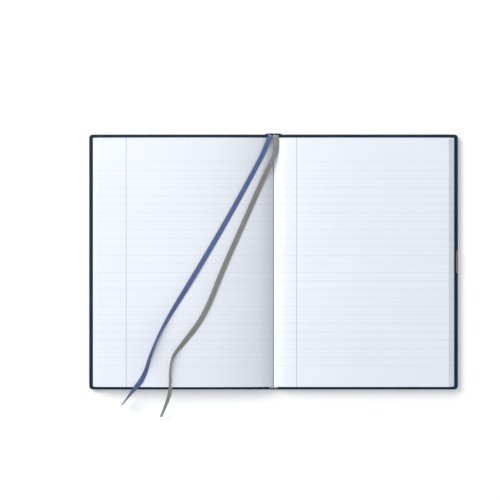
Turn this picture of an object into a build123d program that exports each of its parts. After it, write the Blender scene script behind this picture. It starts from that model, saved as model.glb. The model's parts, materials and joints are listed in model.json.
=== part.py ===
from build123d import *
import os
from math import radians, tan

# Case-bound record book with padded covers and two ribbon markers, lying open at its middle.
# X runs across the spread, Y up the page, Z up from the table. The gutter is at X = 0.
# Each cover turns on the spine about a line parallel to Y, at X = 5.1 or -5.1 and Z = 3.4.
# Each piece is modelled for the right half (the back cover) and mirrored to the left half.

os.makedirs("parts", exist_ok=True)

# ---- driving dimensions, in millimetres ----
PAGE_WIDTH = 148.0              # one leaf, from its fold to the fore-edge
PAGE_HEIGHT = 210.0
SECTIONS_A_SIDE = 6             # sewn sections on each side of the opening
SECTION_THICKNESS = 0.63        # eight leaves
SECTION_PITCH = 0.69            # one section and the air over it
SECTION_SHIFT = 0.8             # how far each open section lies inwards of the one below
FOLD_RADIUS = 0.3               # the folded edge of a section

COVER_EDGE = 156.2              # gutter to the cover's fore-edge, when the book lies open
COVER_HEIGHT = 216.0
COVER_CORNER = 3.0
SKIN = 0.5                      # leatherette
PAD = 1.05                      # foam
BOARD = 1.8                     # greyboard
TURN_IN = 0.25                  # leatherette, skived thin where it is turned in
TURN_IN_WIDTH = 15.0
PAPER = 0.15                    # endpaper
ENDPAPER_LIP = 0.45             # pastedown beyond the lowest leaf
JOINT_CLOTH_START = 8.0         # gutter to the skin that belongs to the cover
BOARD_START = 10.0              # gutter to the board's inner edge
MULL_END = 32.0                 # gutter to the edge of the hinge cloth on the board
MULL_HEIGHT = 184.0

FIRST_FOLD = 4.45               # gutter to the fold of the lowest section

SPINE_HALF = 7.6                # half the width of the spine's leatherette
STRIP_HALF = 7.2
STRIP = 0.8                     # card
LINER_HALF = 6.9
LINER = 0.2
BAND_HALF = 3.4
BAND_RADIUS = 0.8               # bead of the head band and tail band
BAND_ARCH = 0.6                 # how far the bead rises in the middle
BAND_SKIRT = 9.0                # cloth of the band, glued on the liner

TAB_LENGTH, TAB_THICKNESS = 18.7, 0.3
TAB_BOTTOM, TAB_TOP = 0.6, 3.0

RIBBON_WIDTH, RIBBON = 4.0, 0.3
RIBBON_LIFT = 0.1               # air between a ribbon and the page

# ---- levels above the table, worked out from them ----
board_bottom = SKIN + PAD
board_top = board_bottom + BOARD
cover_top = board_top + TURN_IN
flyleaf_bottom = cover_top + PAPER
flyleaf_top = flyleaf_bottom + PAPER
first_section = flyleaf_top + SECTION_PITCH - SECTION_THICKNESS
page_top = first_section + (SECTIONS_A_SIDE - 1) * SECTION_PITCH + SECTION_THICKNESS
fore_edge = FIRST_FOLD + PAGE_WIDTH
pastedown_start = FIRST_FOLD + PAPER
turn_in_edge = COVER_EDGE - TURN_IN_WIDTH
turned_height = COVER_HEIGHT - 2 * TURN_IN_WIDTH
strip_top = SKIN + STRIP
liner_top = strip_top + TURN_IN + LINER


def plate(start, end, height, bottom, top, corner=0.0):
    """A flat plate from X = start to X = end, centred on Y = 0, with its far corners rounded."""
    block = Box(end - start, height, top - bottom, align=(Align.MIN, Align.CENTER, Align.MIN))
    block = Pos(start, 0, bottom) * block
    if corner:
        far = block.edges().filter_by(Axis.Z).sort_by(Axis.X)[-2:]
        block = fillet(far, corner)
    return block


def keep(name, solid):
    """Names one piece and writes its file."""
    solid.label = name
    export_step(solid, f"parts/{name}.step")
    print(f"{name:18s} {solid.volume:10.1f} mm3")


def keep_pair(name, solid):
    """Writes a piece of the back cover, and its mirror image for the front cover."""
    keep("back_" + name, solid)
    keep("front_" + name, mirror(solid, about=Plane.YZ))


# ---- cover boards, and the foam on their outsides ----
board_edge = COVER_EDGE - SKIN
board_height = COVER_HEIGHT - 2 * SKIN
board_corner = COVER_CORNER - SKIN
keep_pair("board", plate(BOARD_START, board_edge, board_height, board_bottom, board_top, board_corner))
keep_pair("pad", plate(BOARD_START, board_edge, board_height, SKIN, board_bottom, board_corner))

# ---- leatherette of the covers: outer sheet, wrapped edges and turn-ins, open towards the spine ----
wrapped = plate(JOINT_CLOTH_START, COVER_EDGE, COVER_HEIGHT, 0, cover_top, COVER_CORNER)
wrapped -= plate(0, board_edge, board_height, SKIN, board_top, board_corner)
wrapped -= plate(0, turn_in_edge, turned_height, board_top, cover_top)
tab_edge = COVER_EDGE - TAB_THICKNESS
edge_tab = plate(tab_edge, COVER_EDGE, TAB_LENGTH, TAB_BOTTOM, TAB_TOP)
keep("front_cover_skin", mirror(wrapped, about=Plane.YZ))
keep("back_cover_skin", wrapped - edge_tab)
keep("edge_tab", edge_tab)

# ---- hinge cloth on the board, the pastedown over it, and the free flyleaf ----
keep_pair("mull", plate(pastedown_start, MULL_END, MULL_HEIGHT, board_top, cover_top))
pastedown = plate(pastedown_start, fore_edge + ENDPAPER_LIP, PAGE_HEIGHT, cover_top, flyleaf_bottom)
pastedown += plate(MULL_END, turn_in_edge, turned_height, board_top, cover_top)
keep_pair("pastedown", pastedown)
keep_pair("flyleaf", plate(pastedown_start, fore_edge, PAGE_HEIGHT, flyleaf_bottom, flyleaf_top))

# ---- spine: leatherette turned in at head and tail over a card strip, with a paper liner ----
spine_skin = plate(-SPINE_HALF, SPINE_HALF, COVER_HEIGHT, 0, strip_top + TURN_IN)
spine_skin -= plate(-SPINE_HALF, SPINE_HALF, board_height, SKIN, strip_top)
spine_skin -= plate(-SPINE_HALF, SPINE_HALF, turned_height, strip_top, strip_top + TURN_IN)
keep("spine_skin", spine_skin)
keep("spine_strip", plate(-STRIP_HALF, STRIP_HALF, board_height, SKIN, strip_top))
spine_liner = plate(-LINER_HALF, LINER_HALF, turned_height, strip_top, strip_top + TURN_IN)
spine_liner += plate(-LINER_HALF, LINER_HALF, board_height - 1, strip_top + TURN_IN, liner_top)
keep("spine_liner", spine_liner)

# ---- head band and tail band: a round bead just past the pages, on a skirt glued to the liner ----
band_y = PAGE_HEIGHT / 2 + RIBBON + BAND_RADIUS
bead_z = liner_top + BAND_RADIUS + TURN_IN / 2
bead_top = (0, band_y, bead_z + BAND_ARCH)
bead_line = ThreePointArc((-BAND_HALF, band_y, bead_z), bead_top, (BAND_HALF, band_y, bead_z))
bead = sweep(Plane(origin=bead_line @ 0, z_dir=bead_line % 0) * Circle(BAND_RADIUS), path=bead_line)
skirt = plate(-BAND_HALF, BAND_HALF, BAND_SKIRT, liner_top, liner_top + TURN_IN)
skirt = Pos(0, band_y - BAND_SKIRT / 2, 0) * skirt
head_band = bead + skirt
keep("head_band", head_band)
keep("tail_band", mirror(head_band, about=Plane.XZ))

# ---- sewn sections: section_12 lies on the back cover, section_01 on the front cover ----
for step in range(SECTIONS_A_SIDE):
    fold = FIRST_FOLD - step * SECTION_SHIFT
    bottom = first_section + step * SECTION_PITCH
    section = plate(fold, fold + PAGE_WIDTH, PAGE_HEIGHT, bottom, bottom + SECTION_THICKNESS)
    folded = section.edges().filter_by(Axis.Y).sort_by(Axis.X)[:2]
    section = fillet(folded, FOLD_RADIUS)
    keep(f"section_{2 * SECTIONS_A_SIDE - step:02d}", section)
    keep(f"section_{step + 1:02d}", mirror(section, about=Plane.YZ))

# ---- ribbon markers: flat strips on the left page, over its tail edge and a little down past it ----
# They start at the head of the page, far enough from the gutter to clear the spine when the cover turns.
ribbon_z = page_top + RIBBON_LIFT + RIBBON / 2
BLUE_ROUTE = [(-10.8, 104.8, 0), (-13, 92, 0), (-21.3, 73, 0), (-41, 36, 0), (-68.5, -11, 0),
              (-96.5, -55, 0), (-107.6, -82.5, 0), (-111.5, -97, 0), (-119.8, -109, 0),
              (-129, -120.3, -2.4)]
GREY_ROUTE = [(-6.4, 104.8, 0), (-6.8, 92, 0), (-10.2, 73, 0), (-22.5, 41, 0), (-43, -4.5, 0),
              (-61, -45.5, 0), (-82.5, -75.5, 0), (-88.9, -93, 0), (-88.2, -109, 0),
              (-90.6, -121.5, -2), (-96.2, -130.6, -4.8)]


def rounded_line(points):
    """A line through the points with each corner rounded as far as its shorter run allows."""
    bends = []
    for before, corner, after in zip(points, points[1:], points[2:]):
        run_in, run_out = Vector(corner) - Vector(before), Vector(after) - Vector(corner)
        half_turn = radians(run_in.get_angle(run_out) / 2)
        bends.append(0.45 * min(run_in.length, run_out.length) / tan(half_turn))
    return FilletPolyline(*points, radius=bends), bends


def ribbon(name, route):
    """A strip as wide as the ribbon in plan, cut to the ribbon's thickness along its side view."""
    plan, bends = rounded_line([(x, y) for x, y, drop in route])
    last_flat = max(i for i, point in enumerate(route) if point[2] == 0)
    side, dips = rounded_line([(y, ribbon_z + drop) for x, y, drop in route[:1] + route[last_flat:]])
    strip = extrude(trace(plan, line_width=RIBBON_WIDTH), amount=2 * page_top)
    across = Pos(-COVER_EDGE, 0, 0) * extrude(Plane.YZ * trace(side, line_width=RIBBON), amount=COVER_EDGE)
    keep(name, strip & across)
    expected = plan.length * RIBBON_WIDTH * RIBBON
    print(f"    {plan.length:.1f} mm long, {expected:.1f} mm3 expected, radii",
          [round(bend) for bend in bends], "and", [round(dip) for dip in dips])


ribbon("blue_ribbon", BLUE_ROUTE)
ribbon("grey_ribbon", GREY_ROUTE)
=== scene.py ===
# A case-bound ruled record book with padded covers and two ribbon markers, lying open at its middle.
# Each piece is made in the order in which the book is put together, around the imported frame.
import json
import bmesh
import bpy
import numpy as np
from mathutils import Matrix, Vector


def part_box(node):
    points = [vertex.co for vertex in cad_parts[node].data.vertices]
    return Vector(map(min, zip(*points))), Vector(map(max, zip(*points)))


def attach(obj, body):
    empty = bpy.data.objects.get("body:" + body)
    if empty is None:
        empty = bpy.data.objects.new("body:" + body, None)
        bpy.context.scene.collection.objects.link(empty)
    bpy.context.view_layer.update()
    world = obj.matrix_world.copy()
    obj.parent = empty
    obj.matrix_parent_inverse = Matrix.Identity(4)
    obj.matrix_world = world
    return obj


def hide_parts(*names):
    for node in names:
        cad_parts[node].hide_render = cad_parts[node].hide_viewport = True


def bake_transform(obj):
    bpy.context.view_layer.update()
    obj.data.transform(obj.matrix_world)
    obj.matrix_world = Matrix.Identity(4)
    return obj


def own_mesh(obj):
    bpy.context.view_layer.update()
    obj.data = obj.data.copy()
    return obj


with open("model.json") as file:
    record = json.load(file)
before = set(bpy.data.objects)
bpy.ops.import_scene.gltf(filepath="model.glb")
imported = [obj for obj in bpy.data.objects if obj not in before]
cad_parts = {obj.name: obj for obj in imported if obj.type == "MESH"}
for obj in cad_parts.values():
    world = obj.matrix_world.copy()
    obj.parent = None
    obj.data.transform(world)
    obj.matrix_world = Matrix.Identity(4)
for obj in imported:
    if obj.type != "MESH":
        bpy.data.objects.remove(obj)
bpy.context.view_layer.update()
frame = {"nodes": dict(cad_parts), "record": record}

MM = 0.001

# ---- The view and the studio ----
# The open book lies on a plain white table, and the camera hangs straight above it.
# One large soft lamp stands at the upper left, a weak one low at the right; the bright room fills in.
VIEW_WIDTH = 422.4 * MM
VIEW_CENTRE = (-19.94 * MM, 10.16 * MM)
CAMERA_DISTANCE = 1800 * MM
page_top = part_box("section_06")[1].z
camera_lens = bpy.data.cameras.new("camera")
camera_lens.sensor_width = 36
camera_lens.lens = camera_lens.sensor_width * CAMERA_DISTANCE / VIEW_WIDTH
camera = bpy.data.objects.new("camera", camera_lens)
camera.location = (*VIEW_CENTRE, page_top + CAMERA_DISTANCE)
bpy.context.scene.collection.objects.link(camera)
bpy.context.scene.camera = camera
bpy.context.scene.view_settings.view_transform = "Standard"


def srgb(red, green, blue):
    """A colour given as 0 to 255 on a screen, as the linear colour that a shader needs."""
    value = np.array([red, green, blue]) / 255
    linear = np.where(value <= 0.04045, value / 12.92, ((value + 0.055) / 1.055) ** 2.4)
    return (*(float(part) for part in linear), 1.0)


def lamp(name, place, target, size, power, colour):
    """A square soft lamp of that size in metres, turned so that it shines from place to target."""
    light = bpy.data.lights.new(name, "AREA")
    light.size, light.energy, light.color = size, power, colour
    holder = bpy.data.objects.new(name, light)
    holder.location = place
    aim = Vector(target) - Vector(place)
    holder.rotation_euler = aim.to_track_quat("-Z", "Y").to_euler()
    bpy.context.scene.collection.objects.link(holder)


lamp("key_lamp", (-1.25, 1.0, 0.96), (0, 0, 0), 1.3, 42.5, (1.0, 0.985, 0.96))
lamp("fill_lamp", (1.6, -0.5, 0.28), (0.1, 0, 0), 0.6, 11, (1.0, 0.99, 0.97))
world = bpy.data.worlds.new("bright_room")
bpy.context.scene.world = world
world.use_nodes = True
ROOM_COLOUR, ROOM_STRENGTH = (0.93, 0.96, 1.0, 1), 0.50
room = world.node_tree.nodes["Background"].inputs
room["Color"].default_value = ROOM_COLOUR
room["Strength"].default_value = ROOM_STRENGTH

table_mesh = bpy.data.meshes.new("table")
TABLE_HALF, TABLE_DROP = 4.0, 0.3 * MM
TABLE_SIGNS = ((-1, -1), (1, -1), (1, 1), (-1, 1))
table_corners = [(x * TABLE_HALF, y * TABLE_HALF, -TABLE_DROP) for x, y in TABLE_SIGNS]
table_mesh.from_pydata(table_corners, [], [(0, 1, 2, 3)])
table = bpy.data.objects.new("table", table_mesh)
bpy.context.scene.collection.objects.link(table)
table_paint = bpy.data.materials.new("white_table")
table_paint.use_nodes = True
TABLE_WHITE, TABLE_ROUGHNESS = (0.93, 0.93, 0.93, 1), 0.9
TABLE_GLOW, TABLE_GLOW_STRENGTH = (1, 1, 1, 1), 0.16
painted = table_paint.node_tree.nodes["Principled BSDF"].inputs
painted["Base Color"].default_value = TABLE_WHITE
painted["Roughness"].default_value = TABLE_ROUGHNESS
painted["Emission Color"].default_value = TABLE_GLOW
painted["Emission Strength"].default_value = TABLE_GLOW_STRENGTH
table_mesh.materials.append(table_paint)

# ---- Ribbon markers ----
# Two woven satin ribbons, 4 mm wide, are glued under the head of the text block. They come up over
# the head band, lie down the left page, turn on edge where they curl, and hang over the tail.
RIBBON_WIDTH, RIBBON_THICKNESS = 4.0 * MM, 0.3 * MM
BLUE_ROUTE = [(-2.4, 107.3, 3.9), (-2.5, 107.1, 7.4), (-4.6, 102, 8.2), (-8.8, 91.5, 9.3), (-19.7, 71, 10.5),
              (-40.2, 34, 11.5), (-67.1, -11.5, 11.9), (-94.7, -56.5, 12.4), (-104.3, -79, 12),
              (-107.1, -91, 11.2), (-112, -100.6, 10.7), (-119, -109, 10.3), (-128.2, -121, 6.2)]
BLUE_TURN = [(0, 0), (0.05, 16), (0.12, 14), (0.25, 5), (0.55, 2), (0.7, 40), (0.76, 64),
             (0.82, 50), (0.86, 34), (0.905, 0), (0.935, 30), (0.96, 64), (1, 78)]
GREY_ROUTE = [(2.1, 107.3, 3.9), (2, 107.1, 7.1), (2.8, 102, 7.2), (1.5, 91.5, 7.6), (-4.6, 79, 8.8),
              (-11.7, 64, 10), (-27.1, 29, 11.1), (-43.4, -7, 11.7), (-57.5, -43.5, 11.9),
              (-75.2, -67.5, 12.2), (-85.4, -79.5, 12.8), (-87.5, -90, 12), (-86.8, -103.5, 12),
              (-88, -114.5, 8.6), (-95.3, -131.2, 4)]
GREY_TURN = [(0, 0), (0.08, 0), (0.15, 14), (0.25, 8), (0.4, 3), (0.68, 0), (0.76, 30),
             (0.82, 74), (0.86, 60), (0.9, 40), (0.94, 40), (0.97, 55), (1, 66)]


def curve_points(name, route):
    """The points of a smooth spline through control points given in millimetres."""
    data = bpy.data.curves.new(name, "CURVE")
    data.dimensions, data.resolution_u = "3D", 16
    spline = data.splines.new("NURBS")
    spline.points.add(len(route) - 1)
    for point, place in zip(spline.points, route):
        point.co = (*(value * MM for value in place), 1)
    spline.order_u = 3
    spline.use_endpoint_u = True
    holder = bpy.data.objects.new(name, data)
    bpy.context.scene.collection.objects.link(holder)
    line = bpy.data.meshes.new_from_object(holder)
    points = np.zeros(len(line.vertices) * 3)
    line.vertices.foreach_get("co", points)
    bpy.data.objects.remove(holder)
    return points.reshape(-1, 3)


def grid_faces(rows, columns, around=False):
    """Quads between neighbouring rows and columns; with around, the last column joins the first."""
    here = np.arange(rows * columns).reshape(rows, columns)
    after = np.roll(here, -1, axis=1)
    if not around:
        here, after = here[:, :-1], after[:, :-1]
    return np.stack([here[:-1], after[:-1], after[1:], here[1:]], axis=-1).reshape(-1, 4)


def outward(points, faces):
    """The faces of a closed shell, all turned over if the volume that they enclose is negative."""
    a, b, c, d = (points[faces[:, i]] for i in range(4))
    volume = (np.cross(b, c) * a).sum() + (np.cross(c, d) * a).sum()
    return points, faces if volume > 0 else faces[:, ::-1]


def swept(rings):
    """A closed tube from rings of points (rings, points, 3): walls round it and an end face of quads.
    A ring goes out along one side and back along the other, so its ends are closed by facing points."""
    count, size = rings.shape[:2]
    across = np.arange(size // 2 - 1)
    cap = np.stack([across, across + 1, size - 2 - across, size - 1 - across], axis=-1)
    walls = grid_faces(count, size, around=True)
    faces = np.concatenate([walls, cap[:, ::-1], cap + (count - 1) * size])
    return outward(rings.reshape(-1, 3), faces)


SHARP = np.radians(38)


def piece(name, shells, surface=None):
    """One object from several (points, faces) shells, with a UV map in metres where surface gives one
    (a pair for each point, all shells in turn)."""
    offsets = np.cumsum([0] + [len(points) for points, faces in shells[:-1]])
    points = np.concatenate([points for points, faces in shells])
    faces = np.concatenate([faces + offset for (_, faces), offset in zip(shells, offsets)])
    mesh = bpy.data.meshes.new(name)
    mesh.from_pydata(points.tolist(), [], faces.tolist())
    mesh.polygons.foreach_set("use_smooth", np.ones(len(mesh.polygons), bool))
    mesh.set_sharp_from_angle(angle=SHARP)
    if surface is not None:
        corner = np.zeros(len(mesh.loops), np.int32)
        mesh.loops.foreach_get("vertex_index", corner)
        mesh.uv_layers.new(name="cloth").data.foreach_set("uv", surface[corner].ravel())
    made = bpy.data.objects.new(name, mesh)
    bpy.context.scene.collection.objects.link(made)
    return made


def ribbon_rings(points, turn):
    """Rings of a flat strip along the points: width times cos, thickness times sin of the way round,
    with squared sides. The strip is turned about its own line by the given share-and-degrees list."""
    along = np.gradient(points, axis=0)
    along /= np.linalg.norm(along, axis=1)[:, None]
    distance = np.concatenate([[0], np.cumsum(np.linalg.norm(np.diff(points, axis=0), axis=1))])
    share = distance / distance[-1]
    angle = np.interp(share, *np.array(turn, float).T)
    angle = np.radians(np.convolve(np.pad(angle, 6, "edge"), np.full(13, 1 / 13), "valid"))
    side = np.cross(along, [0, 0, 1])
    side /= np.linalg.norm(side, axis=1)[:, None]
    up = np.cross(side, along)
    across = side * np.cos(angle)[:, None] + up * np.sin(angle)[:, None]
    through = np.cross(across, along)
    step = np.linspace(-1, 1, 9)
    half = np.sqrt(1 - np.abs(step) ** 6) * 0.85 + 0.15
    wide = np.concatenate([step, step[::-1]]) * RIBBON_WIDTH / 2
    thick = np.concatenate([half, -half[::-1]]) * RIBBON_THICKNESS / 2
    rings = points[:, None] + across[:, None] * wide[:, None] + through[:, None] * thick[:, None]
    surface = np.stack(np.broadcast_arrays(distance[:, None], wide), axis=-1).reshape(-1, 2)
    return rings, surface


def new_material(name, colour, roughness, sheen=0.0, specular=0.5):
    """A material with one Principled shader: plain values on its sockets, patterns linked in later."""
    material = bpy.data.materials.new(name)
    material.use_nodes = True
    shader = material.node_tree.nodes["Principled BSDF"]
    shader.inputs["Base Color"].default_value = colour
    shader.inputs["Roughness"].default_value = roughness
    shader.inputs["Sheen Weight"].default_value = sheen
    shader.inputs["Specular IOR Level"].default_value = specular
    return material, material.node_tree, shader


def node(tree, kind, settings=(), **values):
    """A node with its settings, and its inputs given by name as a value or as a socket to link."""
    made = tree.nodes.new(kind)
    for key, value in dict(settings).items():
        setattr(made, key, value)
    for key, value in values.items():
        numbered = key[0] == "_" and key[1:].isdigit()
        socket = made.inputs[int(key[1:]) if numbered else key.replace("_", " ")]
        if isinstance(value, bpy.types.NodeSocket):
            tree.links.new(value, socket)
        else:
            socket.default_value = value
    return made


def maths(tree, operation, *values):
    """The output of one Math node."""
    named = {f"_{place}": value for place, value in enumerate(values)}
    return node(tree, "ShaderNodeMath", {"operation": operation}, **named).outputs[0]


def new_group(name, inputs, outputs):
    """An empty node group with named sockets; returns its tree, its input node and its output node."""
    tree = bpy.data.node_groups.new(name, "ShaderNodeTree")
    for label, kind in inputs.items():
        tree.interface.new_socket(label, in_out="INPUT", socket_type=kind)
    for label, kind in outputs.items():
        tree.interface.new_socket(label, in_out="OUTPUT", socket_type=kind)
    return tree, tree.nodes.new("NodeGroupInput"), tree.nodes.new("NodeGroupOutput")


PATTERN = {"Colour": "NodeSocketColor", "Height": "NodeSocketFloat"}


def weave_group():
    """Plain weave: height is sine across the warp times sine across the weft, so threads pass over
    and under each other, and the colour darkens in the gaps and drifts a little along the cloth."""
    sockets = {"Surface": "NodeSocketVector", "Warp": "NodeSocketFloat", "Weft": "NodeSocketFloat",
               "Colour": "NodeSocketColor", "Gap": "NodeSocketFloat"}
    tree, given, result = new_group("woven threads", sockets, PATTERN)
    place = node(tree, "ShaderNodeSeparateXYZ", _0=given.outputs["Surface"]).outputs
    along = maths(tree, "SINE", maths(tree, "MULTIPLY", place["X"], given.outputs["Weft"]))
    across = maths(tree, "SINE", maths(tree, "MULTIPLY", place["Y"], given.outputs["Warp"]))
    height = maths(tree, "MULTIPLY_ADD", maths(tree, "MULTIPLY", along, across), 0.5, 0.5)
    drift = node(tree, "ShaderNodeTexNoise", Vector=given.outputs["Surface"], Scale=160,
                 Detail=3).outputs["Fac"]
    light = maths(tree, "MULTIPLY_ADD", maths(tree, "SUBTRACT", height, 1), given.outputs["Gap"],
                  maths(tree, "MULTIPLY_ADD", drift, 0.3, 0.85))
    shade = node(tree, "ShaderNodeVectorMath", {"operation": "SCALE"}, _0=given.outputs["Colour"],
                 Scale=light)
    tree.links.new(shade.outputs[0], result.inputs["Colour"])
    tree.links.new(height, result.inputs["Height"])
    return tree


woven_threads = weave_group()


CLOTH_SHEEN = 0.3


def cloth_material(name, colour, warp, weft, gap, relief, roughness):
    """Woven cloth on its own UV map in metres; warp and weft are threads to the metre."""
    material, tree, shader = new_material(name, colour, roughness, CLOTH_SHEEN)
    place = node(tree, "ShaderNodeUVMap", {"uv_map": "cloth"}).outputs[0]
    threads = node(tree, "ShaderNodeGroup", {"node_tree": woven_threads}, Surface=place, Colour=colour,
                   Warp=warp * np.pi, Weft=weft * np.pi, Gap=gap)
    bump = node(tree, "ShaderNodeBump", Height=threads.outputs["Height"], Distance=relief, Strength=0.8)
    tree.links.new(threads.outputs["Colour"], shader.inputs["Base Color"])
    tree.links.new(bump.outputs[0], shader.inputs["Normal"])
    return material


BLUE = srgb(78, 101, 154)
GREY = srgb(134, 134, 130)
RIBBONS = (("blue_ribbon", BLUE_ROUTE, BLUE_TURN, BLUE, 88 * MM),
           ("grey_ribbon", GREY_ROUTE, GREY_TURN, GREY, 76 * MM))
for name, route, turn, colour, on_page in RIBBONS:
    line = curve_points(name + "_route", route)
    rings, surface = ribbon_rings(line, turn)
    strip = piece(name + "_cloth", [swept(rings)], surface)
    strip.data.materials.append(cloth_material(name + "_satin", colour, 5200, 3400, 0.35, 0.05 * MM, 0.5))
    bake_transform(strip)
    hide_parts(name)


# ---- Boards and hinge cloth ----
# Two plates of greyboard stiffen the covers, and a strip of open cotton cloth on the inside of each
# joins it to the sewn pages. The boards keep their CAD shape; the cloth bends down over the joint.
page_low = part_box("section_12")[0]
stack_bottom, first_fold = page_low.z, page_low.x
SINK, SINK_START, SINK_REACH = 2.05 * MM, 11 * MM, 10.55 * MM
SQUEEZE, SQUEEZE_REACH = 0.6 * MM, 16 * MM
ARCH = {1: 0.5 * MM, -1: 3.2 * MM}
ARCH_POWER = {1: 1, -1: 8}
ARCH_SKEW = {1: 0.6, -1: 0.75}
page_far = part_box("section_12")[1].x


def bent_level(side, across, level):
    """Height of a sheet that would lie flat at level. It sinks towards the gutter by a power of how far
    it is past the board; higher leaves also squeeze together there, and bow up as half a sine of a power
    of the way across, the left page's top leaves most of all."""
    up = np.clip((level - stack_bottom) / (page_top - stack_bottom), 0, 1)
    sink = SINK * np.clip((SINK_START - across) / SINK_REACH, 0, 1.2) ** 1.5
    squeeze = SQUEEZE * np.exp(-np.maximum(across, 0) / SQUEEZE_REACH)
    arch = ARCH[side] * np.sin(np.pi * np.clip(across / page_far, 0, 1) ** ARCH_SKEW[side])
    return level - sink - up * squeeze + up ** ARCH_POWER[side] * arch


def walled(outer, inner):
    """A closed shell from two grids of points of the same size, joined by walls round their rim."""
    rows, columns = outer.shape[:2]
    count = rows * columns
    here = np.arange(count).reshape(rows, columns)
    rim = np.concatenate([here[0, :-1], here[:-1, -1], here[-1, :0:-1], here[:0:-1, 0]])
    after = np.roll(rim, -1)
    face = grid_faces(rows, columns)
    wall = np.stack([after, rim, rim + count, after + count], axis=-1)
    faces = np.concatenate([face, face[:, ::-1] + count, wall])
    return outward(np.concatenate([outer.reshape(-1, 3), inner.reshape(-1, 3)]), faces)


SHEET_COLUMNS = 60


def bent_sheet(name, side, start, end, half_height, bottom, top):
    """A flat sheet from start to end across the page, bent down near the gutter; side is 1 or -1."""
    across, along = np.meshgrid(start + (end - start) * np.linspace(0, 1, SHEET_COLUMNS) ** 1.8,
                                np.linspace(-half_height, half_height, 9), indexing="ij")
    layers = [np.stack([side * across, along, bent_level(side, across, level)], axis=-1)
              for level in (top, bottom)]
    return piece(name, [walled(*layers)])


def flecked_group():
    """Flecks and clouds: fine noise and broad noise, added together, shift a colour; the fine noise is
    the height."""
    sockets = {"Place": "NodeSocketVector", "Fine": "NodeSocketFloat", "Broad": "NodeSocketFloat",
               "Amount": "NodeSocketFloat", "Colour": "NodeSocketColor"}
    tree, given, result = new_group("paper flecks", sockets, PATTERN)
    fine = node(tree, "ShaderNodeTexNoise", Vector=given.outputs["Place"],
                  Scale=given.outputs["Fine"], Detail=4)
    broad = node(tree, "ShaderNodeTexNoise", Vector=given.outputs["Place"],
                   Scale=given.outputs["Broad"], Detail=2)
    both = maths(tree, "SUBTRACT", maths(tree, "ADD", fine.outputs["Fac"], broad.outputs["Fac"]), 1)
    light = maths(tree, "MULTIPLY_ADD", both, given.outputs["Amount"], 1)
    shade = node(tree, "ShaderNodeVectorMath", {"operation": "SCALE"}, _0=given.outputs["Colour"],
                 Scale=light)
    tree.links.new(shade.outputs[0], result.inputs["Colour"])
    tree.links.new(fine.outputs["Fac"], result.inputs["Height"])
    return tree


paper_flecks = flecked_group()


def flecked_material(name, colour, fine, broad, amount, relief, roughness):
    """Paper, board or foam: its colour broken by flecks of the given size, in cells to the metre."""
    material, tree, shader = new_material(name, colour, roughness)
    place = node(tree, "ShaderNodeTexCoord").outputs["Object"]
    flecks = node(tree, "ShaderNodeGroup", {"node_tree": paper_flecks}, Place=place, Colour=colour,
                  Fine=fine, Broad=broad, Amount=amount)
    bump = node(tree, "ShaderNodeBump", Height=flecks.outputs["Height"], Distance=relief, Strength=0.7)
    tree.links.new(flecks.outputs["Colour"], shader.inputs["Base Color"])
    tree.links.new(bump.outputs[0], shader.inputs["Normal"])
    return material


def repaint(node_name, material):
    """Gives a CAD node that keeps its shape its finish."""
    mesh = frame["nodes"][node_name].data
    mesh.materials.clear()
    mesh.materials.append(material)


def place_grid(thing):
    """A cloth UV map in metres from the piece's own X and Y."""
    mesh = thing.data
    corner = np.zeros(len(mesh.loops), np.int32)
    mesh.loops.foreach_get("vertex_index", corner)
    points = np.zeros(len(mesh.vertices) * 3)
    mesh.vertices.foreach_get("co", points)
    mesh.uv_layers.new(name="cloth").data.foreach_set("uv", points.reshape(-1, 3)[corner, :2].ravel())


greyboard = flecked_material("greyboard", srgb(150, 146, 138), 2600, 90, 0.5, 0.06 * MM, 0.9)
hinge_cotton = cloth_material("hinge_cotton", srgb(218, 214, 202), 1500, 1500, 0.6, 0.1 * MM, 0.9)
repaint("back_board", greyboard)
repaint("front_board", greyboard)
SIDES = (("back", 1), ("front", -1))
for name, side in SIDES:
    low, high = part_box(name + "_mull")
    near, far = sorted((abs(low.x), abs(high.x)))
    strip = bent_sheet(name + "_hinge_cloth", side, near, far, high.y, low.z, high.z)
    place_grid(strip)
    strip.data.materials.append(hinge_cotton)
    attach(strip, name + "_cover")
    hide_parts(name + "_mull")

# ---- Foam pads ----
# A thin sheet of soft foam is glued on the outside of each board. The leatherette pulled over it
# squeezes it at the edges, so that it swells into a shallow crown with a flat middle.
board_low, board_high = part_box("back_board")
cover_low, cover_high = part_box("back_cover_skin")
CROWN = 1.05 * MM
SKIN = 0.5 * MM
PILLOW, PILLOW_MASS, SWELL_FRAMES, RISE_CAP = 1 * MM, 0.002, 20, 0.35 * MM
swell_x = np.linspace(board_low.x - 0.5 * MM, cover_high.x - 0.6 * MM, 57)
swell_y = np.linspace(-cover_high.y + 0.6 * MM, cover_high.y - 0.6 * MM, 85)


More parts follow.
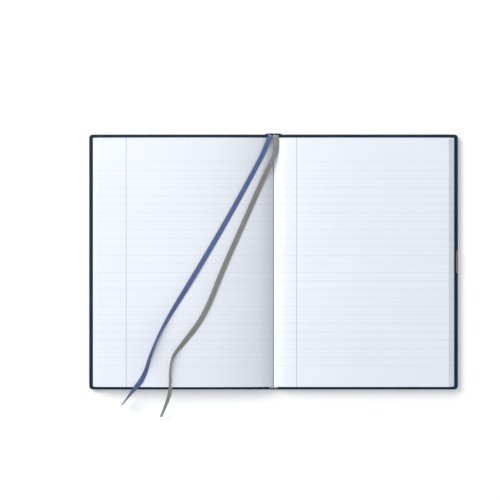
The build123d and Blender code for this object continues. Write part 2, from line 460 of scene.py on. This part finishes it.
def blown_swell():
    """The same fullness from a cloth simulation: a thin pillow on the board's outline, with its lower
    sheet and its rim held fast, is blown up with gravity off. The rise of its upper sheet is capped by
    a hyperbolic tangent, and divided by its largest value."""
    across, along = np.meshgrid(swell_x, swell_y, indexing="ij")
    sheets = [np.stack([across, along, across * 0 + level], axis=-1) for level in (PILLOW, 0)]
    pillow = piece("pillow", [walled(*sheets)])
    held = np.ones((2, *across.shape), bool)
    held[0, 1:-1, 1:-1] = False
    pillow.vertex_groups.new(name="held").add(np.flatnonzero(held.ravel()).tolist(), 1.0, "REPLACE")
    cloth = pillow.modifiers.new("cloth", "CLOTH")
    cloth.settings.vertex_group_mass = "held"
    cloth.settings.use_pressure, cloth.settings.uniform_pressure_force = True, 4
    cloth.settings.mass, cloth.settings.effector_weights.gravity = PILLOW_MASS, 0
    cloth.point_cache.frame_start, cloth.point_cache.frame_end = 1, SWELL_FRAMES
    for step in range(1, SWELL_FRAMES + 1):
        bpy.context.scene.frame_set(step)
    blown = bpy.data.meshes.new_from_object(pillow.evaluated_get(bpy.context.evaluated_depsgraph_get()))
    points = np.zeros(len(blown.vertices) * 3)
    blown.vertices.foreach_get("co", points)
    bpy.data.objects.remove(pillow)
    bpy.context.scene.frame_set(1)
    rise = points.reshape(2, *across.shape, 3)[0, ..., 2] - PILLOW
    capped = np.tanh(np.maximum(rise, 0) / RISE_CAP)
    return capped / capped.max()


swell_grid = blown_swell()


def swell(across, along):
    """The fullness of the foam at any place, by straight-line interpolation in the grid of places."""
    column = np.clip((across - swell_x[0]) / (swell_x[1] - swell_x[0]), 0, len(swell_x) - 1.001)
    row = np.clip((along - swell_y[0]) / (swell_y[1] - swell_y[0]), 0, len(swell_y) - 1.001)
    i, j = column.astype(int), row.astype(int)
    s, t = column - i, row - j
    near = swell_grid[i, j] * (1 - s) + swell_grid[i + 1, j] * s
    far = swell_grid[i, j + 1] * (1 - s) + swell_grid[i + 1, j + 1] * s
    inside = (across > swell_x[0]) & (across < swell_x[-1]) & (abs(along) < swell_y[-1])
    return np.where(inside, near * (1 - t) + far * t, 0)


def eased(start, end, count):
    """Places from start to end, closer together near both ends, by a cosine."""
    return start + (end - start) * (1 - np.cos(np.linspace(0, np.pi, count))) / 2


foam = flecked_material("foam", srgb(232, 229, 220), 4200, 200, 0.35, 0.12 * MM, 0.95)
FOAM_EDGE = 0.12 * MM
for name, side in SIDES:
    across, along = np.meshgrid(eased(board_low.x, board_high.x, 60),
                                eased(-board_high.y, board_high.y, 84), indexing="ij")
    top = np.full_like(across, board_low.z)
    lowest = np.minimum(CROWN * (1 - swell(across, along)) + SKIN, board_low.z - FOAM_EDGE)
    faces = [np.stack([side * across, along, level], axis=-1) for level in (lowest, top)]
    pad = piece(name + "_foam", [walled(*faces)])
    pad.data.materials.append(foam)
    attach(pad, name + "_cover")
    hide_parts(name + "_pad")

# ---- Leatherette of the covers ----
# One sheet of fine-grained navy leatherette wraps each board and its foam. It is pressed into the
# joint groove beside the spine, turned in over the other three edges, mitred and glued down.
GROOVE_START, GROOVE_END, GROOVE_FLOOR = 4.0 * MM, 8.3 * MM, 1.8 * MM
GROOVE_TURNED, GROOVE_WALL, GROOVE_SLOPE = 2.45 * MM, 0.4 * MM, 1.3 * MM
OUTER_ARRIS, INNER_ARRIS = 0.9 * MM, 0.45 * MM
CORNER = 3 * MM
turn_in = 15 * MM
TURNED_SKIN = 0.25 * MM


def wrapped_edge(end, outer_arris, inner_arris, height, depth):
    """Stations round an edge: a quarter circle, the upright edge, a quarter circle, and the turn-in.
    For each station: its place, its share of the height, and its depth into the turn-in."""
    turn = np.linspace(0, np.pi / 2, 7)
    back = np.linspace(inner_arris, depth, 7)[1:]
    place = [end - outer_arris * (1 - np.sin(turn)), end - inner_arris * (1 - np.cos(turn)), end - back]
    share = [outer_arris * (1 - np.cos(turn)) / height,
             1 - inner_arris * (1 - np.sin(turn)) / height, np.ones(6)]
    inside = [np.zeros(7), inner_arris * (1 - np.cos(turn)), back]
    return [np.concatenate(part) for part in (place, share, inside)]


def wrapped_grid(across, along, ends, level, corner):
    """Points of a sheet wrapped over its edges. Height goes from the face level to the turned-in level
    by the larger share; turn-ins stop at the mitre; corners in plan go from square to round by scaling
    each point by its larger part over its length."""
    (x, share_x, inside_x), (y, share_y, inside_y) = across, along
    x_end, y_end = ends
    x, y = np.meshgrid(x, y, indexing="ij")
    share = np.maximum(share_x[:, None], share_y[None])
    face, turned = level(x, y)
    x = np.sign(x) * np.minimum(abs(x), x_end - inside_y[None])
    y = np.sign(y) * np.minimum(abs(y), y_end - inside_x[:, None])
    if corner:
        dx, dy = abs(x) - (x_end - corner), abs(y) - (y_end - corner)
        in_corner = (dx > 0) & (dy > 0)
        shrink = np.where(in_corner, np.maximum(dx, dy) / np.maximum(np.hypot(dx, dy), 1e-12), 1)
        x = np.where(in_corner, np.sign(x) * (x_end - corner + dx * shrink), x)
        y = np.where(in_corner, np.sign(y) * (y_end - corner + dy * shrink), y)
    return np.stack([x, y, face * (1 - share) + turned * share], axis=-1)


def both_ends(stations, face_places):
    """Stations of a face between two wrapped edges, the first edge being the mirror of the last."""
    place, share, inside = stations
    zero = np.zeros_like(face_places)
    return (np.concatenate([-place[::-1], face_places, place]), np.concatenate([share[::-1], zero, share]),
            np.concatenate([inside[::-1], zero, inside]))


def smooth_step(value):
    """0 below 0, 1 above 1, and three squares less two cubes between."""
    value = np.clip(value, 0, 1)
    return value * value * (3 - 2 * value)


def cover_level(skin):
    """Face level and turned-in level of the cover's sheet, raised by skin for its inner side."""
    def level(x, y):
        in_groove = smooth_step((board_low.x - GROOVE_WALL - x) / GROOVE_SLOPE)
        face = CROWN * (1 - swell(x, y)) + (GROOVE_FLOOR - CROWN) * in_groove + skin * SKIN
        turned = cover_high.z + (GROOVE_TURNED - cover_high.z) * in_groove - skin * TURNED_SKIN
        return face, turned
    return level


WELD = 1e-7


def merged(thing):
    """Joins points that lie on each other, and drops the faces that have no area left."""
    work = bmesh.new()
    work.from_mesh(thing.data)
    bmesh.ops.remove_doubles(work, verts=work.verts, dist=WELD)
    bmesh.ops.dissolve_degenerate(work, edges=work.edges, dist=WELD)
    work.to_mesh(thing.data)
    work.free()
    return thing


def leather_group():
    """Leatherette grain: small rounded cells (distance to the nearest cell border, eased) with fine
    noise in them. The colour is deeper between cells, drifts over the cover, and is lighter where the
    attribute marks an edge, partly as edge wear and partly as a painted highlight; that edge is also
    smoother."""
    sockets = {"Place": "NodeSocketVector", "Cells": "NodeSocketFloat", "Rub": "NodeSocketFloat",
               "Colour": "NodeSocketColor", "Rubbed": "NodeSocketColor", "Gloss": "NodeSocketFloat"}
    tree, given, result = new_group("leather grain", sockets, PATTERN | {"Roughness": "NodeSocketFloat"})
    wobble = node(tree, "ShaderNodeTexNoise", Vector=given.outputs["Place"], Scale=900, Detail=3)
    cells = node(tree, "ShaderNodeTexVoronoi", {"feature": "DISTANCE_TO_EDGE"}, Vector=given.outputs["Place"],
                 Scale=given.outputs["Cells"], Randomness=1.0)
    pebble = node(tree, "ShaderNodeMapRange", {"interpolation_type": "SMOOTHSTEP"},
                  Value=cells.outputs["Distance"], From_Min=0.0, From_Max=0.35).outputs[0]
    height = maths(tree, "MULTIPLY_ADD", wobble.outputs["Fac"], 0.5, pebble)
    clouds = node(tree, "ShaderNodeTexNoise", Vector=given.outputs["Place"], Scale=38,
                  Detail=5).outputs["Fac"]
    light = maths(tree, "MULTIPLY", maths(tree, "MULTIPLY_ADD", pebble, 0.3, 0.78),
                  maths(tree, "MULTIPLY_ADD", clouds, 0.5, 0.75))
    shade = node(tree, "ShaderNodeVectorMath", {"operation": "SCALE"}, _0=given.outputs["Colour"],
                 Scale=light).outputs[0]
    edge_mix = maths(tree, "MULTIPLY", given.outputs["Rub"], maths(tree, "MULTIPLY_ADD", clouds, 1.2, -0.1))
    mixed = node(tree, "ShaderNodeMix", {"data_type": "RGBA"}, _0=edge_mix, _6=shade, _7=given.outputs["Rubbed"])
    tree.links.new(mixed.outputs[2], result.inputs["Colour"])
    tree.links.new(height, result.inputs["Height"])
    dull = maths(tree, "MULTIPLY_ADD", clouds, 0.16, given.outputs["Gloss"])
    tree.links.new(maths(tree, "MULTIPLY_ADD", given.outputs["Rub"], -0.08, dull), result.inputs["Roughness"])
    return tree


leather_grain = leather_group()


def leather_material(name, colour, rubbed):
    """Navy leatherette with its grain on the piece's own coordinates."""
    material, tree, shader = new_material(name, colour, 0.5, sheen=0.02, specular=0.16)
    place = node(tree, "ShaderNodeTexCoord").outputs["Object"]
    rub = node(tree, "ShaderNodeAttribute", {"attribute_name": "rub"}).outputs["Fac"]
    grain = node(tree, "ShaderNodeGroup", {"node_tree": leather_grain}, Place=place, Cells=1500, Rub=rub,
                 Colour=colour, Rubbed=rubbed, Gloss=0.38)
    bump = node(tree, "ShaderNodeBump", Height=grain.outputs["Height"], Distance=0.035 * MM, Strength=0.6)
    tree.links.new(grain.outputs["Colour"], shader.inputs["Base Color"])
    tree.links.new(grain.outputs["Roughness"], shader.inputs["Roughness"])
    tree.links.new(bump.outputs[0], shader.inputs["Normal"])
    return material


# The lighter navy at the outer edges is partly edge wear and partly a painted highlight of the padded edges.
NAVY, WORN_AND_HIGHLIT_NAVY = srgb(21, 40, 57), srgb(46, 82, 112)
leatherette = leather_material("navy_leatherette", NAVY, WORN_AND_HIGHLIT_NAVY)


# How far in the edge wear and painted highlight reach on the covers and on the spine.
COVER_WEAR_AND_HIGHLIGHT, SPINE_WEAR_AND_HIGHLIGHT, TURN_IN_LESS = 3.4 * MM, 1.2 * MM, 0.7


def wear_and_highlight_attribute(thing, ends, reach):
    """Marks each point's share of edge wear and painted highlight: one at the outer edges, fading inwards
    as an exponential, and a third of that on the turn-ins, which the boards keep from wear; the painted
    highlight is cut there too."""
    points = np.zeros(len(thing.data.vertices) * 3)
    thing.data.vertices.foreach_get("co", points)
    points = abs(points.reshape(-1, 3))
    gap = np.minimum(ends[0] - points[:, 0], ends[1] - points[:, 1])
    turned_in = smooth_step((points[:, 2] - cover_high.z / 2) / (cover_high.z / 3))
    rubbed = np.exp(-np.maximum(gap, 0) / reach) * (1 - TURN_IN_LESS * turned_in)
    thing.data.attributes.new("rub", "FLOAT", "POINT").data.foreach_set("value", rubbed)


upright = cover_high.z - CROWN
ARRIS_LESS, INNER_ARRIS_LESS = 0.4 * MM, 0.2 * MM
for name, side in SIDES:
    sheets = []
    for inner in (0, 1):
        x_end, y_end = cover_high.x - inner * SKIN, cover_high.y - inner * SKIN
        arris, inner_arris = OUTER_ARRIS - inner * ARRIS_LESS, INNER_ARRIS - inner * INNER_ARRIS_LESS
        edge_x = wrapped_edge(x_end, arris, inner_arris, upright, turn_in - inner * SKIN)
        edge_y = wrapped_edge(y_end, arris, inner_arris, upright, turn_in - inner * SKIN)
        on_board = board_low.x + GROOVE_WALL
        face_x = np.concatenate([np.linspace(GROOVE_START, GROOVE_END, 5),
                                 np.linspace(GROOVE_END, on_board, 12)[1:],
                                 eased(on_board, x_end - arris, 64)[1:-1]])
        zero = np.zeros_like(face_x)
        across = [np.concatenate(pair) for pair in zip((face_x, zero, zero), edge_x)]
        along = both_ends(edge_y, eased(-y_end + arris, y_end - arris, 90)[1:-1])
        grid = wrapped_grid(across, along, (x_end, y_end), cover_level(inner), CORNER - inner * SKIN)
        grid[..., 0] *= side
        sheets.append(grid)
    skin = merged(piece(name + "_cover_leather", [walled(*sheets)]))
    wear_and_highlight_attribute(skin, (cover_high.x, cover_high.y), COVER_WEAR_AND_HIGHLIGHT)
    skin.data.materials.append(leatherette)
    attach(skin, name + "_cover")
    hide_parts(name + "_cover_skin")

# ---- Spine ----
# The same leatherette wraps a strip of card. It is turned in along both sides and at head and tail,
# where it is set into a small cap that stands a little past the boards. Kraft paper lines it.
spine_low, spine_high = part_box("spine_skin")
SPINE_ARRIS, SPINE_INNER_ARRIS, SPINE_LIP = 0.6 * MM, 0.25 * MM, 0.65 * MM
SIDE_SKIN, SPINE_ARRIS_LESS, SPINE_INNER_LESS, CAP_REACH = 0.4 * MM, 0.35 * MM, 0.1 * MM, 2 * MM
CAP_OUT, CAP_UP = {1: 1.0 * MM, -1: 0.1 * MM}, {1: 0.9 * MM, -1: 0.4 * MM}


def spine_level(inner):
    """Face level and turned-in level of the spine's sheet, both flat."""
    def level(x, y):
        return x * 0 + inner * SKIN, x * 0 + spine_high.z - inner * TURNED_SKIN
    return level


sheets = []
for inner in (0, 1):
    x_end, y_end = spine_high.x - inner * SIDE_SKIN, spine_high.y - inner * SKIN
    arris = SPINE_ARRIS - inner * SPINE_ARRIS_LESS
    inner_arris, lip = SPINE_INNER_ARRIS - inner * SPINE_INNER_LESS, SPINE_LIP - inner * SPINE_INNER_LESS
    edge_x = wrapped_edge(x_end, arris, inner_arris, spine_high.z, lip)
    edge_y = wrapped_edge(y_end, arris, inner_arris, spine_high.z, turn_in - inner * SKIN)
    across = both_ends(edge_x, np.linspace(-x_end + arris, x_end - arris, 22)[1:-1])
    along = both_ends(edge_y, eased(-y_end + arris, y_end - arris, 60)[1:-1])
    grid = wrapped_grid(across, along, (x_end, y_end), spine_level(inner), 0)
    middle = 1 - np.clip(abs(grid[..., 0]) / spine_high.x, 0, 1) ** 6
    near_end = smooth_step((abs(grid[..., 1]) - spine_high.y + CAP_REACH) / CAP_REACH)
    at_head = grid[..., 1] > 0
    up = np.clip(grid[..., 2] / spine_high.z, 0, 1)
    grid[..., 2] += np.where(at_head, CAP_UP[1], CAP_UP[-1]) * middle * near_end * up
    grid[..., 1] += np.where(at_head, CAP_OUT[1], -CAP_OUT[-1]) * middle * near_end
    sheets.append(grid)
spine = merged(piece("spine_leather", [walled(*sheets)]))
wear_and_highlight_attribute(spine, (spine_high.x, spine_high.y + CAP_OUT[1]), SPINE_WEAR_AND_HIGHLIGHT)
spine.data.materials.append(leather_material("spine_leatherette", srgb(26, 36, 58), WORN_AND_HIGHLIT_NAVY))
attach(spine, "spine")
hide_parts("spine_skin")
repaint("spine_strip", flecked_material("spine_card", srgb(160, 152, 140), 2600, 90, 0.5, 0.06 * MM, 0.9))
repaint("spine_liner", flecked_material("kraft_paper", srgb(172, 146, 112), 3200, 120, 0.4, 0.04 * MM, 0.9))

# ---- Sewn sections ----
# Twelve sections of four folded sheets each, sewn through the fold. Cut flush when the book is shut,
# they fan out when it opens: each lies 0.8 mm further in than the one below it.
SHEETS = 4
LEAF = 0.062 * MM
LEAF_STEP = 0.04 * MM
TAIL_EXTRA = 0.5 * MM
FOLD_BULGE = 0.25 * MM
OPENING = (6, 7)
LEAF_PLACES, TRIM_PLACES, TRIM = 44, 15, 0.03 * MM
# The bowed leaves at the opening each get a mesh of their own.
BOWED = ("section_05", "section_06")
random = np.random.default_rng(12)


def folded_sheet(fold, far, low, high, leaf):
    """Outer and inner outline of one folded sheet, seen from the tail: the lower leaf from its fore-edge
    to the fold, half a circle round the fold, and the upper leaf back to the fore-edge."""
    radius = (high - low) / 2
    run = np.linspace(0, 1, LEAF_PLACES) ** 1.7
    turn = np.linspace(0, np.pi, 9)[1:-1]
    lines = []
    for inset in (0, leaf):
        bow = radius - inset
        flat = fold + radius + run * (far - fold - radius)
        across = np.concatenate([flat[::-1], fold + radius - bow * np.sin(turn), flat])
        level = np.concatenate([np.full(LEAF_PLACES, low + inset), (low + high) / 2 - bow * np.cos(turn),
                                np.full(LEAF_PLACES, high - inset)])
        lines.append(np.stack([across, level], axis=-1))
    return np.concatenate([lines[0], lines[1][::-1]])


def paper_wave(across, along):
    """The faint waviness of paper: two slow sines across and along the page, a tenth of a millimetre."""
    return 0.09 * MM * (np.sin(across / (21 * MM) + 1.3) * np.sin(along / (33 * MM) + 0.4)
                        + 0.5 * np.sin(across / (13 * MM) - along / (47 * MM)))


def section_shell(side, fold, bottom, height, order):
    """One folded sheet as a closed shell: its outline carried along Y, bent, waved and trimmed."""
    pitch = height / (2 * SHEETS)
    low, high = bottom + order * pitch, bottom + height - order * pitch
    far = fold + page_far - first_fold - order * LEAF_STEP
    outline = folded_sheet(fold + order * pitch, far, low, high, LEAF)
    trim = random.normal(0, TRIM, 2)
    stations = np.linspace(-page_half - TAIL_EXTRA, page_half, TRIM_PLACES)
    stations += np.linspace(trim[0], trim[1], TRIM_PLACES)
    across, along = np.meshgrid(outline[:, 0], stations)
    level = np.broadcast_to(outline[:, 1], across.shape)
    up = (level - stack_bottom) / (page_top - stack_bottom)
    z = bent_level(side, across, level) + up * paper_wave(across, along) * np.clip(across / (20 * MM), 0, 1)
    return swept(np.stack([side * across, along, z], axis=-1))


RULES, RULE_TOP, RULE_PITCH, RULE_HALF = 25, 84.6 * MM, 7.18 * MM, 0.13 * MM
MARGINS = (19.4 * MM, -124.4 * MM)
PAPER, RULE_COLOUR, MARGIN_COLOUR = srgb(227, 231, 240), srgb(211, 217, 229), srgb(146, 150, 176)
# Painted shade darkens the left leaves near the fold; the right one is negative, so it is painted light that
# makes the right leaves paler near the fold.
LEFT_FOLD_PAINTED_SHADE, RIGHT_FOLD_PAINTED_SHADE, FOLD_REACH = 0.24, -0.09, 32 * MM
# The paler band at the right-hand cut edges of the pages is painted light.
EDGE_BAND, EDGE_PAINTED_LIGHT = 3.8 * MM, 0.16


def ruled_material():
    """White paper with its own flecks, printed with feint rules and one margin line. A rule's mask is
    how far Y is from the nearest multiple of the pitch, kept between the first and the last rule. Painted
    shade darkens the left-hand leaves near the fold and painted light makes the right-hand ones paler, by
    an exponential of how far X is from it; painted light also makes the cut edges at the right paler."""
    material, tree, shader = new_material("ruled_paper", PAPER, 0.75, specular=0.25)
    place = node(tree, "ShaderNodeTexCoord").outputs["Object"]
    part = node(tree, "ShaderNodeSeparateXYZ", _0=place).outputs
    flecks = node(tree, "ShaderNodeGroup", {"node_tree": paper_flecks}, Place=place, Colour=PAPER,
                  Fine=1400, Broad=26, Amount=0.06)

    def line_mask(distance, half):
        return node(tree, "ShaderNodeMapRange", Value=distance, From_Min=half, From_Max=half * 1.6,
                    To_Min=1.0, To_Max=0.0).outputs[0]

    count = maths(tree, "DIVIDE", maths(tree, "SUBTRACT", RULE_TOP, part["Y"]), RULE_PITCH)
    nearest = maths(tree, "ROUND", count)
    off_rule = maths(tree, "ABSOLUTE", maths(tree, "SUBTRACT", count, nearest))
    gap = maths(tree, "MULTIPLY", off_rule, RULE_PITCH)
    on_page = maths(tree, "MULTIPLY", maths(tree, "GREATER_THAN", nearest, -0.5),
                    maths(tree, "LESS_THAN", nearest, RULES - 0.5))
    ruled = maths(tree, "MULTIPLY", line_mask(gap, RULE_HALF), on_page)
    printed = node(tree, "ShaderNodeMix", {"data_type": "RGBA"}, _0=ruled,
                   _6=flecks.outputs["Colour"], _7=RULE_COLOUR)
    for margin in MARGINS:
        gap = maths(tree, "ABSOLUTE", maths(tree, "SUBTRACT", part["X"], margin))
        printed = node(tree, "ShaderNodeMix", {"data_type": "RGBA"}, _0=line_mask(gap, RULE_HALF),
                       _6=printed.outputs[2], _7=MARGIN_COLOUR)
    # Painted shade near the fold on the left leaves, painted light near it on the right ones and on the right
    # cut edges.
    on_left = maths(tree, "LESS_THAN", part["X"], 0)
    fold_painted_shade = maths(tree, "MULTIPLY_ADD", on_left, RIGHT_FOLD_PAINTED_SHADE - LEFT_FOLD_PAINTED_SHADE, -RIGHT_FOLD_PAINTED_SHADE)
    from_fold = maths(tree, "ABSOLUTE", part["X"])
    near_fold = maths(tree, "EXPONENT", maths(tree, "DIVIDE", from_fold, -FOLD_REACH))
    at_edge = maths(tree, "GREATER_THAN", part["X"], page_far - EDGE_BAND)
    light = maths(tree, "MULTIPLY_ADD", near_fold, fold_painted_shade, maths(tree, "MULTIPLY_ADD", at_edge, EDGE_PAINTED_LIGHT, 1))
    painted_shading = node(tree, "ShaderNodeVectorMath", {"operation": "SCALE"}, _0=printed.outputs[2], Scale=light)
    bump = node(tree, "ShaderNodeBump", Height=flecks.outputs["Height"], Distance=0.01 * MM, Strength=0.5)
    tree.links.new(painted_shading.outputs[0], shader.inputs["Base Color"])
    tree.links.new(bump.outputs[0], shader.inputs["Normal"])
    return material


ruled_paper = ruled_material()
page_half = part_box("section_12")[1].y
bodies = frame["record"]["behaviour"]["bodies"]
section_bodies = {member: body for body, members in bodies.items() for member in members}
for number in range(1, 13):
    name = f"section_{number:02d}"
    low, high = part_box(name)
    side = 1 if high.x > -low.x else -1
    fold = (low.x if side == 1 else -high.x) - (FOLD_BULGE if number in OPENING else 0)
    shells = [section_shell(side, fold, low.z, high.z - low.z, order) for order in range(SHEETS)]
    section = piece(name + "_leaves", shells)
    section.data.materials.append(ruled_paper)
    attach(section, section_bodies[name])
    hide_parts(name)
    if name in BOWED:
        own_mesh(section)

# ---- Endpapers ----
# A folded sheet of plain white paper at each end: one half is pasted over the board and its turn-ins,
# the other is the free flyleaf. Both bend down over the joint with the sections.
endpaper = flecked_material("endpaper", srgb(234, 237, 243), 1400, 30, 0.06, 0.01 * MM, 0.8)
for name, side in SIDES:
    for layer in ("pastedown", "flyleaf"):
        low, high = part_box(f"{name}_{layer}")
        near, far = sorted((abs(low.x), abs(high.x)))
        bottom = cover_high.z if layer == "pastedown" else low.z
        leaf = bent_sheet(f"{name}_{layer}_paper", side, near, far, high.y, bottom, high.z)
        leaf.data.materials.append(endpaper)
        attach(leaf, name + "_cover")
        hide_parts(f"{name}_{layer}")

# ---- Head band and tail band ----
# A corded band of cream cloth is glued across the spine lining at each end of the
# pages: a round bead just past them, and a skirt of the same cloth flat on the lining.
BEAD_RADIUS, BEAD_ARCH = 0.8 * MM, 0.6 * MM
BAND_CORDS, BEAD_PLACES, BEAD_SIDES = 9, 91, 20
SKIRT_REACH, SKIRT_THICKNESS = 9.8 * MM, 0.25 * MM
band_cloth = cloth_material("band_cloth", srgb(226, 218, 200), 2600, 2600, 0.45, 0.08 * MM, 0.85)
for name in ("head_band", "tail_band"):
    low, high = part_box(name)
    end = 1 if high.y > 0 else -1
    outer = max(abs(low.y), abs(high.y))
    around = np.linspace(0, 2 * np.pi, BEAD_SIDES, endpoint=False)
    run = np.linspace(-1, 1, BEAD_PLACES)
    radius = BEAD_RADIUS * (0.94 + 0.08 * abs(np.cos(run * BAND_CORDS * np.pi / 2)))
    radius *= np.where(abs(run) > 0.97, 0.8, 1)
    middle = high.z - BEAD_RADIUS - BEAD_ARCH * run ** 2
    x = np.broadcast_to((run * high.x)[:, None], (BEAD_PLACES, BEAD_SIDES))
    y = end * (outer - BEAD_RADIUS) + radius[:, None] * np.cos(around)
    z = middle[:, None] + radius[:, None] * np.sin(around)
    bead = swept(np.stack([x, y, z], axis=-1))
    bead_surface = np.stack(np.broadcast_arrays((run * high.x)[:, None], around * BEAD_RADIUS), axis=-1)
    bead_surface = bead_surface.reshape(-1, 2)
    across, along = np.meshgrid(np.linspace(-1, 1, 12) * high.x,
                                np.linspace(outer - SKIRT_REACH, outer - BEAD_RADIUS, 12), indexing="ij")
    skirt = [np.stack([across, end * along, across * 0 + level], axis=-1)
             for level in (low.z + SKIRT_THICKNESS, low.z)]
    skirt_surface = np.tile(np.stack([across, along], axis=-1).reshape(-1, 2), (2, 1))
    band = piece(name + "_cloth", [bead, walled(*skirt)], np.concatenate([bead_surface, skirt_surface]))
    band.data.materials.append(band_cloth)
    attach(band, "spine")
    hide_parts(name)

# ---- Edge tab ----
# A short woven tape is glued round the edge of the back cover, halfway up its fore-edge. It stands a
# fraction of a millimetre off the leatherette and laps a little over the turn-in.
TAPE, TAB_LAP, TAB_START, TAB_BULGE = 0.2 * MM, 1.3 * MM, 0.25 * MM, 0.4 * MM
low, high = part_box("edge_tab")
turn = np.linspace(-np.pi / 2, np.pi / 2, 13)
middle, half = (low.z + cover_high.z + TAPE) / 2, (cover_high.z + TAPE - low.z) / 2
edge_x = high.x - TAB_START + TAB_BULGE * np.cos(turn) ** 0.5
edge = np.stack([edge_x, middle + half * np.sin(turn)], axis=-1)
lap = np.stack([edge[-1, 0] - TAB_LAP * np.linspace(0, 1, 6)[1:], np.full(5, edge[-1, 1])], axis=-1)
profile = np.concatenate([edge, lap])
run = np.gradient(profile, axis=0)
inward = np.stack([-run[:, 1], run[:, 0]], axis=-1) / np.linalg.norm(run, axis=1)[:, None]
stations = np.linspace(low.y, high.y, 41)
grids = []
for depth in (0, TAPE):
    x, y = np.meshgrid(profile[:, 0] + depth * inward[:, 0], stations)
    z = np.broadcast_to(profile[:, 1] + depth * inward[:, 1], x.shape)
    grids.append(np.stack([x, y, z], axis=-1))
distance = np.concatenate([[0], np.cumsum(np.linalg.norm(np.diff(profile, axis=0), axis=1))])
tab_surface = np.tile(np.stack(np.meshgrid(distance, stations), axis=-1).reshape(-1, 2), (2, 1))
tab = piece("edge_tab_tape", [walled(*grids)], tab_surface)
tab.data.materials.append(cloth_material("tab_tape", srgb(128, 118, 110), 2400, 2400, 0.5, 0.08 * MM, 0.85))
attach(tab, "back_cover")
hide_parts("edge_tab")
